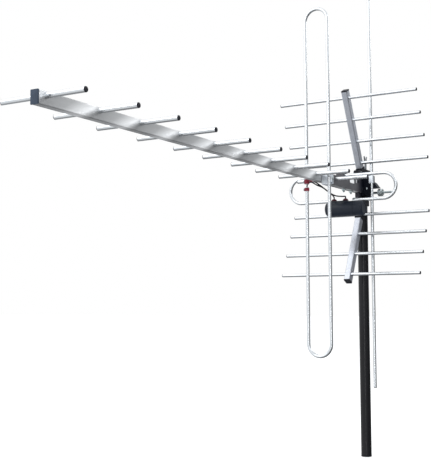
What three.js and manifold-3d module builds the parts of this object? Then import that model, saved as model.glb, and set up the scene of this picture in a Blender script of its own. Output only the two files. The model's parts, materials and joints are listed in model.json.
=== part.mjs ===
// Combined VHF and UHF yagi antenna on a short stub mast.
// Millimetres. X runs along the elements, -Y is the front of the boom, +Z is up.
// The origin is the centre of the mast's foot.
import * as THREE from 'three';
import { mergeVertices } from 'three/addons/utils/BufferGeometryUtils.js';
import Module from 'manifold-3d';

const wasm = await Module();
wasm.setup();

// ---------------------------------------------------------------- driving dimensions
const GAP = 0.3;                    // clearance between touching pieces

const MAST_R = 12.25;
const MAST_WALL = 1.5;
const MAST_TOP = 606;
const FOOT_FLANGE = 3;

const BOOM_Z = 630;                 // height of the boom's axis
const BOOM_W = 13;
const BOOM_H = 20;
const BOOM_WALL = 1.2;
const BOOM_FRONT = -1148;
const BOOM_REAR = -20;

const DIRECTOR_R = 4.2;
const DIRECTOR_RISE = 4;            // directors sit this far above the boom's axis
const DIRECTOR_REAR_Y = -176;
const DIRECTOR_GAPS = [98, 105, 102, 108, 107, 112, 109, 103, 114];   // rear to front
const DIRECTOR_LENGTHS = [151, 156, 156, 156, 157, 167, 167, 167, 166, 171];   // front to rear
const TUBE_WALL = 0.9;

const LOOP_R = 3.75;                // tube radius of both folded dipoles and of the rods
const VHF_Y = -252;
const VHF_CENTRE_Z = 623.6;
const VHF_HEIGHT = 760;             // centre to centre of the end bends
const VHF_HALF_WIDTH = 26.7;
const VHF_FEED_Z = 612.5;
const VHF_FEED_GAP = 6;
const VHF_CLAMP_Z = 625;            // screw that holds the bracket to the right-hand bar
const BRACKET_SCREW_Y = -228;

const UHF_Y = -123;
const UHF_TOP_Z = 648;
const UHF_BOTTOM_Z = 590.5;
const UHF_HALF_LENGTH = 129.5;      // to the centre line of the end bends
const UHF_LEFT_END_X = -27.5;
const UHF_RIGHT_END_X = 26;

const BALUN_Z = 572;
const BALUN_R = 17.5;
const BALUN_WALL = 2;
const BALUN_LEFT = -38;
const BALUN_SEAM = 32;
const BALUN_RIGHT = 54;
const HOOD_TOP = 590.5;             // flat pad on the balun that carries the two glands
const GLANDS_X = [-19, 9];
const SOCKET_X = -24;
const LEAD_R = 1.5;

const HUB_W = 16;
const HUB_BOTTOM = 597;
const HUB_TOP = 663;
const NECK_TOP = 619.7;             // the front of the hub is narrower below this height
const HUB_FRONT = -33;
const NOSE_FRONT = -200;
const NOSE_TOP = 655;
const NOSE_LOW_TOP = 643;           // the nose is lower ahead of the UHF dipole's seat
const NOSE_SCREWS_Y = [-111.5, -70];

const TILT_Y = 10;                  // tilt bolt, which runs along X
const TILT_Z = 621;
const TILT_BOLT_R = 2.75;
const LUG_RIGHT = 23;               // face of the hub's lug that the tilt nut bears on
const TONGUE_T = 7;
const COLLAR_HALF = 13.5;
const COLLAR_BOTTOM = 590;
const COLLAR_TOP = 609;
const LOCK_SCREW_Z = 598;

const ARM_LEAN = THREE.MathUtils.degToRad(26);
const ARM_APEX_Y = 13.5;            // where both arms' centre lines meet the boom's axis
const ARM_W = 14;
const ARM_D = 18;
const ARM_END = 246;                // distances along an arm start at the apex
const UPPER_ARM_START = 57.5;
const LOWER_ARM_START = 82;
const ROD_FIRST = 70;
const ROD_PITCH = 53.4;
const ROD_COUNT = 4;
const ROD_LENGTH = 341;
const ROD_FORWARD = 2;              // rods sit this far ahead of the arm's centre line

const FOLD_Y = -26;                 // hinge pins of the folding arms
const FOLD_RISE = 38.6;             // their distance above and below the boom's axis
const WING_SCREW_Y = 24;

const VHF_ROD_X = 28.7;
const VHF_ROD_Y = -10;
const VHF_ROD_BOTTOM = 160.5;
const VHF_ROD_TOP = 1089.5;

const PLUG_T = 3;                   // end plugs of the rods and directors
const DRAIN_R = 1;

// ---------------------------------------------------------------- materials
function material(color, roughness, metalness) {
  return new THREE.MeshStandardMaterial({ color, roughness, metalness });
}

const aluminium = material(0xd4dadd, 0.3, 0.9);
const boomAluminium = material(0xb9bec2, 0.35, 0.9);
const plateAluminium = material(0xaebccb, 0.45, 0.8);
const steel = material(0x9aa3aa, 0.35, 0.9);
const blackPlastic = material(0x15171c, 0.5, 0);
const bluePlastic = material(0x4b5a6e, 0.5, 0);
const greyPlastic = material(0x35373b, 0.6, 0);
const redPlastic = material(0x8c1f2e, 0.5, 0);
const blackSteel = material(0x08090b, 0.15, 0.3);
const cableRubber = material(0x14161a, 0.7, 0);
const boardGreen = material(0x2d6a3e, 0.6, 0);
const brass = material(0xc9a94f, 0.3, 0.9);

const antenna = new THREE.Group();

function addNode(name, geometry, look) {
  const mesh = new THREE.Mesh(geometry, look);
  mesh.name = name;
  antenna.add(mesh);
}

// ---------------------------------------------------------------- solids
function toSolid(geometry) {
  const bare = new THREE.BufferGeometry();
  bare.setAttribute('position', geometry.getAttribute('position'));
  bare.setIndex(geometry.getIndex());
  const merged = mergeVertices(bare, 1e-4);
  const mesh = new wasm.Mesh({
    numProp: 3,
    vertProperties: new Float32Array(merged.getAttribute('position').array),
    triVerts: new Uint32Array(merged.getIndex().array),
  });
  return new wasm.Manifold(mesh);
}

function toGeometry(solid) {
  const mesh = solid.getMesh();
  const geometry = new THREE.BufferGeometry();
  geometry.setAttribute('position', new THREE.BufferAttribute(mesh.vertProperties, 3));
  geometry.setIndex(new THREE.BufferAttribute(mesh.triVerts, 1));
  geometry.computeVertexNormals();
  return geometry;
}

function join(first, ...others) {
  return others.reduce((sum, other) => sum.add(toSolid(other)), toSolid(first));
}

function cut(solid, ...tools) {
  return tools.reduce((rest, tool) => rest.subtract(toSolid(tool)), solid);
}

// A box from its lowest corner to its highest corner.
function box(low, high) {
  const size = high.map((value, i) => value - low[i]);
  const geometry = new THREE.BoxGeometry(...size);
  geometry.translate(...low.map((value, i) => value + size[i] / 2));
  return geometry;
}

// Turns a shape built along +Y so that it runs along the named axis.
function along(axis, geometry) {
  if (axis === 'x') geometry.rotateZ(-Math.PI / 2);
  if (axis === 'z') geometry.rotateX(Math.PI / 2);
  return geometry;
}

// A round bar from one coordinate to another along an axis.
function bar(axis, radius, from, to, centre, sides = 12) {
  const geometry = along(axis, new THREE.CylinderGeometry(radius, radius, to - from, sides));
  const place = { x: [(from + to) / 2, centre[0], centre[1]],
    y: [centre[0], (from + to) / 2, centre[1]],
    z: [centre[0], centre[1], (from + to) / 2] }[axis];
  geometry.translate(...place);
  return geometry;
}

// A solid of revolution from [radius, distance] pairs. Distance runs along the axis.
function turned(axis, profile, start, centre, sides = 12) {
  const points = profile.map(([radius, distance]) => new THREE.Vector2(radius, distance));
  const geometry = new THREE.LatheGeometry(points, sides);
  along(axis, geometry);
  const place = { x: [start, centre[0], centre[1]],
    y: [centre[0], start, centre[1]],
    z: [centre[0], centre[1], start] }[axis];
  geometry.translate(...place);
  return geometry;
}

function pipe(axis, radius, wall, from, to, centre, sides = 12) {
  const length = to - from;
  const inner = radius - wall;
  const profile = [[inner, 0], [radius, 0], [radius, length], [inner, length], [inner, 0]];
  return turned(axis, profile, from, centre, sides);
}

function outline(points) {
  return new THREE.Shape(points.map(([a, b]) => new THREE.Vector2(a, b)));
}

// A plate whose outline lies in the Y-Z plane, from x = from to x = to.
function plateYZ(points, from, to) {
  const geometry = new THREE.ExtrudeGeometry(outline(points), {
    depth: to - from, bevelEnabled: false });
  geometry.applyMatrix4(new THREE.Matrix4().makeBasis(
    new THREE.Vector3(0, 1, 0), new THREE.Vector3(0, 0, 1), new THREE.Vector3(1, 0, 0)));
  geometry.translate(from, 0, 0);
  return geometry;
}

// A plate whose outline lies in the X-Z plane, from y = from to y = to.
function plateXZ(points, from, to) {
  const geometry = new THREE.ExtrudeGeometry(outline(points), {
    depth: to - from, bevelEnabled: false });
  geometry.applyMatrix4(new THREE.Matrix4().makeBasis(
    new THREE.Vector3(1, 0, 0), new THREE.Vector3(0, 0, 1), new THREE.Vector3(0, -1, 0)));
  geometry.translate(0, to, 0);
  return geometry;
}

function arc(centre, radius, fromDeg, toDeg, steps) {
  return Array.from({ length: steps + 1 }, (unused, i) => {
    const angle = THREE.MathUtils.degToRad(fromDeg + (toDeg - fromDeg) * i / steps);
    return [centre[0] + radius * Math.cos(angle), centre[1] + radius * Math.sin(angle)];
  });
}

// A path whose sections stand exactly at its points, so that straight stretches need no steps.
class PointPath extends THREE.Curve {
  constructor(points) {
    super();
    this.points = points.map((point) => new THREE.Vector3(...point));
  }

  get steps() {
    return this.points.length - 1;
  }

  getPoint(t, target = new THREE.Vector3()) {
    const place = THREE.MathUtils.clamp(t, 0, 1) * this.steps;
    const index = Math.min(Math.floor(place), this.steps - 1);
    return target.lerpVectors(this.points[index], this.points[index + 1], place - index);
  }

  getUtoTmapping(u) {
    return u;
  }

  getSpacedPoints() {
    return this.points.map((point) => point.clone());
  }
}

function ring(radius, wall, sides) {
  const shape = outline(arc([0, 0], radius, 0, 360 - 360 / sides, sides - 1));
  if (wall) shape.holes.push(outline(arc([0, 0], radius - wall, 0, 360 - 360 / sides, sides - 1)));
  return shape;
}

function bentTube(points, radius, wall, sides) {
  const path = new PointPath(points);
  return new THREE.ExtrudeGeometry(ring(radius, wall, sides), { steps: path.steps, extrudePath: path });
}

// A hollow rod whose ends are closed by flush plugs. Each plug has a small drain hole.
function pluggedRod(axis, radius, from, to, centre, sides = 10) {
  const length = to - from;
  const inner = radius - TUBE_WALL;
  const far = length - PLUG_T;
  const profile = [[DRAIN_R, 0], [radius, 0], [radius, length], [DRAIN_R, length],
    [DRAIN_R, far], [inner, far], [inner, PLUG_T], [DRAIN_R, PLUG_T], [DRAIN_R, 0]];
  return turned(axis, profile, from, centre, sides);
}

// ---------------------------------------------------------------- mast, collar and tilt bolt
function buildMast() {
  const floor = FOOT_FLANGE + GAP;
  addNode('mast_tube', pipe('z', MAST_R, MAST_WALL, floor, MAST_TOP, [0, 0], 24), blackSteel);

  const spigot = MAST_R - MAST_WALL - GAP;
  const plug = [[0, 0], [MAST_R, 0], [MAST_R, FOOT_FLANGE], [spigot, FOOT_FLANGE], [spigot, 18], [0, 18]];
  addNode('mast_foot_plug', turned('z', plug, 0, [0, 0], 24), blackPlastic);
}

function buildCollar() {
  const inner = COLLAR_HALF - 3;
  const square = [[inner, -COLLAR_HALF], [COLLAR_HALF, -inner],
    [COLLAR_HALF, inner], [inner, COLLAR_HALF], [-inner, COLLAR_HALF], [-COLLAR_HALF, inner], [-COLLAR_HALF, -inner], [-inner, -COLLAR_HALF]];
  const height = COLLAR_TOP - COLLAR_BOTTOM;
  const block = new THREE.ExtrudeGeometry(outline(square), { depth: height, bevelEnabled: false });
  block.translate(0, 0, COLLAR_BOTTOM);
  const boss = box([-6, 10, LOCK_SCREW_Z - 6], [6, 21, LOCK_SCREW_Z + 6]);
  const eye = arc([TILT_Y, TILT_Z], 10, 0, 180, 10);
  const tongue = plateYZ([[TILT_Y - 10, 608], [TILT_Y + 10, 608], ...eye], -TONGUE_T / 2, TONGUE_T / 2);
  const collar = cut(join(block, boss, tongue),
    bar('z', MAST_R + GAP, COLLAR_BOTTOM - 1, MAST_TOP + GAP, [0, 0], 24),
    bar('y', 3.3, 5, 30, [0, LOCK_SCREW_Z], 10),
    bar('x', TILT_BOLT_R + GAP, -10, 10, [TILT_Y, TILT_Z]));
  addNode('clamp_collar', toGeometry(collar), blackPlastic);

  const lock = [[0, 0], [3, 0], [3, 8.9], [5.5, 8.9], [5.5, 13], [0, 13]];
  addNode('swivel_lock_screw', turned('y', lock, MAST_R + GAP, [0, LOCK_SCREW_Z], 6), steel);

  const bolt = [[0, -4], [5.4, -4], [5.4, 0], [TILT_BOLT_R, 0], [TILT_BOLT_R, 80], [0, 80]];
  addNode('tilt_bolt', turned('x', bolt, -HUB_W / 2 - GAP, [TILT_Y, TILT_Z], 12), steel);

  const nutStart = LUG_RIGHT + GAP;
  const nut = join(bar('x', 9, nutStart, nutStart + 3, [TILT_Y, TILT_Z], 16),
    bar('x', 9, nutStart + 2.9, 49, [TILT_Y, TILT_Z], 6));
  const thread = bar('x', TILT_BOLT_R + GAP, nutStart - 1, 50, [TILT_Y, TILT_Z]);
  addNode('tilt_nut', toGeometry(cut(nut, thread)), steel);
}

// ---------------------------------------------------------------- boom and directors
function directorPlaces() {
  const rearToFront = [DIRECTOR_REAR_Y];
  for (const gap of DIRECTOR_GAPS) rearToFront.push(rearToFront.at(-1) - gap);
  return rearToFront.reverse();
}

function buildBoom() {
  const halfW = BOOM_W / 2;
  const halfH = BOOM_H / 2;
  const skin = box([-halfW, BOOM_FRONT, BOOM_Z - halfH], [halfW, BOOM_REAR, BOOM_Z + halfH]);
  const bore = box([-halfW + BOOM_WALL, BOOM_FRONT - 1, BOOM_Z - halfH + BOOM_WALL],
    [halfW - BOOM_WALL, BOOM_REAR + 1, BOOM_Z + halfH - BOOM_WALL]);
  const directorZ = BOOM_Z + DIRECTOR_RISE;
  const directorHoles = directorPlaces().map((y) =>
    bar('x', DIRECTOR_R + GAP, -halfW - 1, halfW + 1, [y, directorZ], 10));
  const screwHoles = NOSE_SCREWS_Y.map((y) =>
    bar('z', 2.8, BOOM_Z - halfH - 1, BOOM_Z + halfH + 1, [0, y], 8));
  const bracketHole = bar('x', 2.3, 4, halfW + 1, [BRACKET_SCREW_Y, 626], 8);
  const boom = cut(toSolid(skin), bore, ...directorHoles, ...screwHoles, bracketHole);
  addNode('boom_tube', toGeometry(boom), boomAluminium);

  const face = box([-halfW - 0.4, BOOM_FRONT - 3.3, BOOM_Z - halfH - 0.4],
    [halfW + 0.4, BOOM_FRONT - GAP, BOOM_Z + halfH + 0.4]);
  const plugW = halfW - BOOM_WALL - GAP;
  const plugH = halfH - BOOM_WALL - GAP;
  const stub = box([-plugW, BOOM_FRONT - 1, BOOM_Z - plugH], [plugW, BOOM_FRONT + 6, BOOM_Z + plugH]);
  addNode('boom_front_cap', toGeometry(join(face, stub)), bluePlastic);
}

function buildDirectors() {
  const z = BOOM_Z + DIRECTOR_RISE;
  directorPlaces().forEach((y, i) => {
    const half = DIRECTOR_LENGTHS[i] / 2;
    const name = `director_${String(i + 1).padStart(2, '0')}`;
    addNode(name, pluggedRod('x', DIRECTOR_R, -half, half, [y, z]), aluminium);
  });
}

// ---------------------------------------------------------------- VHF folded dipole
function buildVhfDipole() {
  const reach = VHF_HEIGHT / 2 - VHF_HALF_WIDTH;
  const topZ = VHF_CENTRE_Z + reach;
  const bottomZ = VHF_CENTRE_Z - reach;
  const halfGap = VHF_FEED_GAP / 2;
  const path = [[-VHF_HALF_WIDTH, VHF_FEED_Z + halfGap],
    ...arc([0, topZ], VHF_HALF_WIDTH, 180, 0, 8),
    ...arc([0, bottomZ], VHF_HALF_WIDTH, 0, -180, 8),
    [-VHF_HALF_WIDTH, VHF_FEED_Z - halfGap]];
  const loop = bentTube(path.map(([x, z]) => [x, VHF_Y, z]), LOOP_R, TUBE_WALL, 10);
  const screwHole = bar('x', 2.3, 20, 34, [VHF_Y, VHF_CLAMP_Z], 8);
  addNode('vhf_dipole', toGeometry(cut(toSolid(loop), screwHole)), aluminium);

  const x = -VHF_HALF_WIDTH;
  const bore = LOOP_R + GAP;
  const block = join(bar('z', 5.6, 616.5, 626.5, [x, VHF_Y], 12),
    box([x + 4.6, VHF_Y - 3.5, 621.8], [-BOOM_W / 2 - GAP, VHF_Y + 3.5, 626.5]));
  const upper = cut(block,
    bar('z', bore, 610, 635, [x, VHF_Y], 12),
    bar('x', 1.9, x - 12, x - 1, [VHF_Y, 622], 8),
    bar('y', 1.9, VHF_Y, VHF_Y + 12, [-13, 624.2], 8));
  addNode('vhf_terminal_upper', toGeometry(upper), redPlastic);
  const lower = cut(toSolid(bar('z', 5.5, 601, 608, [x, VHF_Y], 12)),
    bar('z', bore, 595, 612, [x, VHF_Y], 12),
    bar('x', 1.9, x - 12, x - 1, [VHF_Y, 604.5], 8));
  addNode('vhf_terminal_lower', toGeometry(lower), redPlastic);

  const edge = BOOM_W / 2 + GAP;
  const low = 613.5;
  const high = 633.5;
  const front = VHF_Y + LOOP_R + GAP;
  const bracket = join(box([edge, front, low], [edge + 2.5, -214, high]),
    box([edge, front, low], [34, front + 2.5, high]),
    box([VHF_HALF_WIDTH + LOOP_R + GAP, VHF_Y - 3, 617], [34, front + 1, high - 1]));
  const drilled = cut(bracket,
    bar('x', 2.3, edge - 1, edge + 4, [BRACKET_SCREW_Y, 626], 8),
    bar('x', 2.3, 30, 36, [VHF_Y, VHF_CLAMP_Z], 8));
  addNode('vhf_dipole_bracket', toGeometry(drilled), plateAluminium);
}

function screw(axis, from, side, length, radius, headR, headT, centre) {
  const profile = [[0, -length], [radius, -length], [radius, 0], [headR, 0], [headR, headT], [0, headT]];
  const placed = profile.map(([r, distance]) => [r, distance * side]);
  return turned(axis, side < 0 ? placed.reverse() : placed, from, centre, 8);
}

// ---------------------------------------------------------------- UHF folded dipole and its balun
function buildUhfDipole() {
  const radius = (UHF_TOP_Z - UHF_BOTTOM_Z) / 2;
  const middle = (UHF_TOP_Z + UHF_BOTTOM_Z) / 2;
  const reach = UHF_HALF_LENGTH - radius;
  const path = [[UHF_LEFT_END_X, UHF_BOTTOM_Z],
    ...arc([-reach, middle], radius, 270, 90, 8),
    ...arc([reach, middle], radius, 90, -90, 8),
    [UHF_RIGHT_END_X, UHF_BOTTOM_Z]];
  const loop = bentTube(path.map(([x, z]) => [x, UHF_Y, z]), LOOP_R, TUBE_WALL, 10);
  addNode('uhf_dipole', loop, aluminium);

  const half = HUB_W / 2 - 1;
  const saddle = toSolid(box([-half, UHF_Y - 6, UHF_TOP_Z + GAP], [half, UHF_Y + 6, NOSE_TOP + 0.5]));
  const seat = bar('x', LOOP_R + GAP, -10, 10, [UHF_Y, UHF_TOP_Z], 12);
  addNode('uhf_dipole_saddle', toGeometry(cut(saddle, seat)), greyPlastic);
}

function buildBalun() {
  const centre = [UHF_Y, BALUN_Z];
  const seam = BALUN_SEAM - BALUN_LEFT;
  const inner = BALUN_R - BALUN_WALL;
  const shell = turned('x', [[0, 0], [BALUN_R - 6, 0], [BALUN_R - 1.5, 2.5], [BALUN_R, 7],
    [BALUN_R, seam], [inner, seam], [inner, BALUN_WALL + 1], [0, BALUN_WALL + 1]],
  BALUN_LEFT, centre, 20);
  const hood = box([-26.4, UHF_Y - 8, BALUN_Z + 12], [17, UHF_Y + 8, HOOD_TOP]);
  const hoodBore = box([-23, UHF_Y - 6, BALUN_Z + 5], [14, UHF_Y + 6, HOOD_TOP - 1.5]);
  const channel = box([18, UHF_Y - LOOP_R - GAP, UHF_BOTTOM_Z - LOOP_R - GAP],
    [70, UHF_Y + LOOP_R + GAP, UHF_BOTTOM_Z + 10]);
  const leftHole = bar('x', LOOP_R + GAP, -50, UHF_LEFT_END_X + GAP, [UHF_Y, UHF_BOTTOM_Z], 12);
  const glandHoles = GLANDS_X.map((x) => bar('z', 2.6, 586, 596, [x, UHF_Y], 10));
  const socketHole = bar('y', 5, UHF_Y + 5, UHF_Y + 20, [SOCKET_X, BALUN_Z], 12);
  const housing = cut(join(shell, hood), hoodBore, channel, leftHole, ...glandHoles, socketHole);
  addNode('balun_housing', toGeometry(housing), blackPlastic);

  const capStart = BALUN_SEAM + GAP;
  const capLength = BALUN_RIGHT - capStart;
  const spigot = inner - GAP;
  const capProfile = [[0, capLength], [BALUN_R - 2.5, capLength], [BALUN_R, capLength - 2.5],
    [BALUN_R, 0], [spigot, 0], [spigot, -6], [spigot - 2, -6], [spigot - 2, capLength - 2],
    [0, capLength - 2]];
  const cap = turned('x', capProfile.reverse(), capStart, centre, 20);
  addNode('balun_end_cap', toGeometry(cut(toSolid(cap), channel)), blackPlastic);

  GLANDS_X.forEach((x, i) => {
    const dome = [[1.9, -4], [2.3, -4], [2.3, 0], [6.5, 0], [5.6, 2.6], [3.2, 5], [1.9, 5], [1.9, -4]];
    const gland = turned('z', dome, HOOD_TOP + GAP, [x, UHF_Y], 12);
    addNode(i === 0 ? 'lead_gland_left' : 'lead_gland_right', gland, redPlastic);
  });

  const board = box([-31, UHF_Y - 11, BALUN_Z - 1.6], [22, UHF_Y + 3, BALUN_Z]);
  addNode('balun_circuit_board', board, boardGreen);
  const coil = pipe('x', 4.6, 2.3, -12, -4, [UHF_Y - 3, BALUN_Z + GAP + 4.6], 10);
  addNode('balun_transformer', coil, greyPlastic);

  const socket = turned('y', [[0, -4], [4.6, -4], [4.6, 0.5], [6.5, 0.5], [6.5, 3], [4.7, 3], [4.7, 13],
    [0, 13]], UHF_Y + BALUN_R - 0.2, [SOCKET_X, BALUN_Z], 12);
  addNode('coax_socket', socket, brass);
}

function smoothPath(points) {
  const curve = new THREE.CatmullRomCurve3(points.map((point) => new THREE.Vector3(...point)));
  return curve.getPoints(points.length * 2).map((point) => point.toArray());
}

function buildLeads() {
  const upper = [[-13, -251, 624.2], [-13, -246, 624], [-12, -241, 621.8], [-9.9, -232, 618.6],
    [-9.2, -217, 615.2], [-9, -199.5, 611.2], [-9, -185, 607.8], [-8.8, -168, 604], [-11, -149, 601],
    [-16, -133, 600.8], [-18.6, -126, 600.6]];
  const lower = [[-28.6, -244.7, 604.5], [-29.6, -244.5, 608], [-29.6, -244.4, 614],
    [-26.5, -244.4, 619.5], [-20, -244.3, 621.2], [-14.5, -243, 618.6], [-10.8, -236.5, 615.4],
    [-7.6, -229, 613.4], [-5.5, -217, 611.6], [-5.4, -199.5, 608.4], [-5.4, -185, 605.4],
    [-5.2, -168, 602], [-2.5, -149, 599.6], [5, -133, 599.6], [8.7, -126, 600.2]];
  const drop = (x) => [[x, UHF_Y, 598.6], [x, UHF_Y, 587]];
  const upperPath = [...smoothPath(upper), ...drop(GLANDS_X[0])];
  const lowerPath = [...smoothPath(lower), ...drop(GLANDS_X[1])];
  addNode('feed_lead_upper', bentTube(upperPath, LEAD_R, 0, 8), cableRubber);
  addNode('feed_lead_lower', bentTube(lowerPath, LEAD_R, 0, 8), cableRubber);
}

// ---------------------------------------------------------------- hub
function buildHub() {
  const half = HUB_W / 2;
  const boomTop = BOOM_Z + BOOM_H / 2 + GAP;
  const foldZ = BOOM_Z + FOLD_RISE;
  const collarSide = -COLLAR_HALF - 0.6;
  const side = [[HUB_FRONT, NECK_TOP], [collarSide, NECK_TOP], [collarSide, 613.5],
    ...arc([TILT_Y, TILT_Z], 11.4, 235, 360, 7),
    [TILT_Y + 11.4, 640], [42, 652], [42, HUB_TOP], [-33, HUB_TOP], [-60, NOSE_TOP],
    [UHF_Y - 10, NOSE_TOP], [UHF_Y - 16, NOSE_LOW_TOP], [NOSE_FRONT, NOSE_LOW_TOP],
    [NOSE_FRONT, NECK_TOP]];
  const web = plateYZ(side, -half, half);
  const neck = box([-4.5, HUB_FRONT, HUB_BOTTOM], [4.5, collarSide, NECK_TOP + 1]);
  const foot = box([-half, HUB_FRONT, HUB_BOTTOM], [half, collarSide, HUB_BOTTOM + 4]);
  const pins = [foldZ, BOOM_Z - FOLD_RISE];
  const ears = pins.map((z) => bar('x', 5.5, -half, half, [FOLD_Y, z], 16));
  const stems = [[HUB_TOP - 2, foldZ], [BOOM_Z - FOLD_RISE, HUB_BOTTOM + 2]].map(([low, high]) =>
    box([-half, FOLD_Y - 5.5, low], [half, FOLD_Y + 5.5, high]));
  const lugEdge = COLLAR_HALF + 0.6;
  const lug = plateXZ([[half - 1, 615], [lugEdge, 615], [lugEdge, 609], [LUG_RIGHT, 609],
    [LUG_RIGHT, 631.5], [42, 631.5], [33, 644], [27, 648], [27, HUB_TOP - 1],
    [half - 1, HUB_TOP - 1]], VHF_ROD_Y + LOOP_R + GAP, 14.5);
  const pocket = box([-BOOM_W / 2 - GAP, NOSE_FRONT - 1, BOOM_Z - BOOM_H / 2 - GAP],
    [BOOM_W / 2 + GAP, BOOM_REAR + GAP, boomTop]);
  const tongueSlot = box([-TONGUE_T / 2 - GAP, -3, 605], [TONGUE_T / 2 + GAP, 50, 634]);
  const earSlots = [box([-4, FOLD_Y - 6.5, HUB_TOP - 0.1], [4, FOLD_Y + 6.5, 680]),
    box([-4, FOLD_Y - 6.5, 580], [4, FOLD_Y + 6.5, HUB_BOTTOM + 0.1])];
  const pinHoles = pins.map((z) => bar('x', 2.3, -12, 12, [FOLD_Y, z], 10));
  const boltHole = bar('x', TILT_BOLT_R + GAP, -12, 60, [TILT_Y, TILT_Z]);
  const saddleSeat = box([-10, UHF_Y - 6 - GAP, UHF_TOP_Z], [10, UHF_Y + 6 + GAP, 660]);
  const dipoleGroove = bar('x', LOOP_R + GAP, -12, 12, [UHF_Y, UHF_TOP_Z], 12);
  const screwHoles = NOSE_SCREWS_Y.map((y) => bar('z', 2.8, BOOM_Z, 670, [0, y], 8));
  const directorHole = bar('x', DIRECTOR_R + GAP, -12, 12,
    [DIRECTOR_REAR_Y, BOOM_Z + DIRECTOR_RISE], 12);
  const hub = cut(join(web, neck, foot, ...ears, ...stems, lug), pocket, tongueSlot, ...earSlots,
    ...pinHoles, boltHole, saddleSeat, dipoleGroove, ...screwHoles, directorHole);
  addNode('hub_moulding', toGeometry(hub), blackPlastic);
}

function buildFasteners() {
  const boomBottom = BOOM_Z - BOOM_H / 2;
  const seat = NOSE_TOP + GAP - boomBottom;
  const stem = [[0, -8], [2.5, -8], [2.5, -4.3], [4.6, -4.3], [4.6, -GAP], [2.5, -GAP], [2.5, seat],
    [4.2, seat], [4.2, seat + 2.5], [0, seat + 2.5]];
  const front = turned('z', stem, boomBottom, [0, NOSE_SCREWS_Y[0]], 8);
  addNode('nose_screw_front', front, steel);
  const rear = turned('z', stem, boomBottom, [0, NOSE_SCREWS_Y[1]], 8);
  addNode('nose_screw_rear', rear, steel);

  const bracketFace = BOOM_W / 2 + GAP + 2.5 + GAP;
  addNode('vhf_bracket_screw', screw('x', bracketFace, 1, 8, 2, 4, 2.2, [BRACKET_SCREW_Y, 626]), steel);
  addNode('vhf_dipole_screw', screw('x', 34 + GAP, 1, 10, 2, 4, 2.2, [VHF_Y, VHF_CLAMP_Z]), steel);

  const x = -VHF_HALF_WIDTH;
  const upperTerminal = screw('x', x - 5.6 - GAP, -1, 1.2, 1.6, 2.8, 2, [VHF_Y, 622]);
  addNode('vhf_terminal_screw_upper', upperTerminal, steel);
  const lowerTerminal = screw('x', x - 5.5 - GAP, -1, 1, 1.6, 2.8, 2, [VHF_Y, 604.5]);
  addNode('vhf_terminal_screw_lower', lowerTerminal, steel);
  addNode('uhf_terminal_screw', screw('z', UHF_BOTTOM_Z + LOOP_R + GAP, 1, 0.2, 1.6, 2.6, 1.8,
    [UHF_RIGHT_END_X + 5, UHF_Y]), steel);
}

// ---------------------------------------------------------------- folding reflector arms
// Side is +1 for the upper arm and -1 for the lower arm.
// Ahead is measured square to the arm, towards the front.
function onArm(side, distance, ahead) {
  const y = ARM_APEX_Y - distance * Math.sin(ARM_LEAN) - ahead * Math.cos(ARM_LEAN);
  const z = BOOM_Z + side * (distance * Math.cos(ARM_LEAN) - ahead * Math.sin(ARM_LEAN));
  return [y, z];
}

// A box that lies along an arm, from one distance to another.
function armBlock(side, from, to, rear, front, halfWidth) {
  const corners = [onArm(side, from, rear), onArm(side, to, rear),
    onArm(side, to, front), onArm(side, from, front)];
  return plateYZ(side > 0 ? corners : corners.reverse(), -halfWidth, halfWidth);
}

function buildArm(side, label, start) {
  const places = Array.from({ length: ROD_COUNT }, (unused, i) => ROD_FIRST + i * ROD_PITCH);
  const rods = places.map((distance) => onArm(side, distance, ROD_FORWARD));
  const bores = rods.map((place) => bar('x', LOOP_R + GAP, -20, 20, place, 10));
  const skin = toSolid(armBlock(side, start, ARM_END, -ARM_D / 2, ARM_D / 2, ARM_W / 2));
  const inside = ARM_D / 2 - BOOM_WALL;
  const hollow = armBlock(side, start - 1, ARM_END + 1, -inside, inside, ARM_W / 2 - BOOM_WALL);
  addNode(`${label}_arm_tube`, toGeometry(cut(skin, hollow, ...bores)), plateAluminium);

  const lidReach = ARM_D / 2 + 0.3;
  const lid = armBlock(side, ARM_END + GAP, ARM_END + 3, -lidReach, lidReach, ARM_W / 2 + 0.3);
  const stubHalf = ARM_W / 2 - BOOM_WALL - GAP;
  const stub = armBlock(side, ARM_END - 6, ARM_END + 1, GAP - inside, inside - GAP, stubHalf);
  addNode(`${label}_arm_cap`, toGeometry(join(lid, stub)), blackPlastic);

  rods.forEach((place, i) => {
    const rod = pluggedRod('x', LOOP_R, -ROD_LENGTH / 2, ROD_LENGTH / 2, place);
    addNode(`${label}_rod_${i + 1}`, rod, aluminium);
  });

  const pinZ = BOOM_Z + side * FOLD_RISE;
  const pin = [[0, -10], [3.4, -10], [3.4, -HUB_W / 2 - GAP], [2, -HUB_W / 2 - GAP], [2, 9.5], [0, 9.5]];
  addNode(`${label}_fold_pin`, turned('x', pin, 0, [FOLD_Y, pinZ], 10), steel);
  return bores[0];
}

function buildUpperShoe(rodBore) {
  const pinZ = BOOM_Z + FOLD_RISE;
  const floor = HUB_TOP + 0.6;
  const half = 7.5;
  const knuckle = bar('x', 5, -3.7, 3.7, [FOLD_Y, pinZ], 16);
  const bridge = box([-3.7, FOLD_Y, floor], [3.7, -15, 673]);
  const base = box([-half, -19.5, floor], [half, 34, 679.5]);
  const seat = armBlock(1, 43.5, UPPER_ARM_START - GAP, -10.5, 10.5, half);
  const spigot = armBlock(1, 54, 66, -7.3, 7.3, 5.3);
  const reach = ARM_D / 2 + GAP;
  const armRoom = armBlock(1, UPPER_ARM_START - GAP, 120, -reach, reach, half + 1);
  const body = cut(join(knuckle, bridge, base, seat), armRoom).add(toSolid(spigot));
  const shoe = cut(body, bar('x', 2.3, -12, 12, [FOLD_Y, pinZ], 10),
    bar('z', 3.3, 650, 690, [0, WING_SCREW_Y], 10), rodBore);
  addNode('upper_arm_shoe', toGeometry(shoe), blackPlastic);
}

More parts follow.
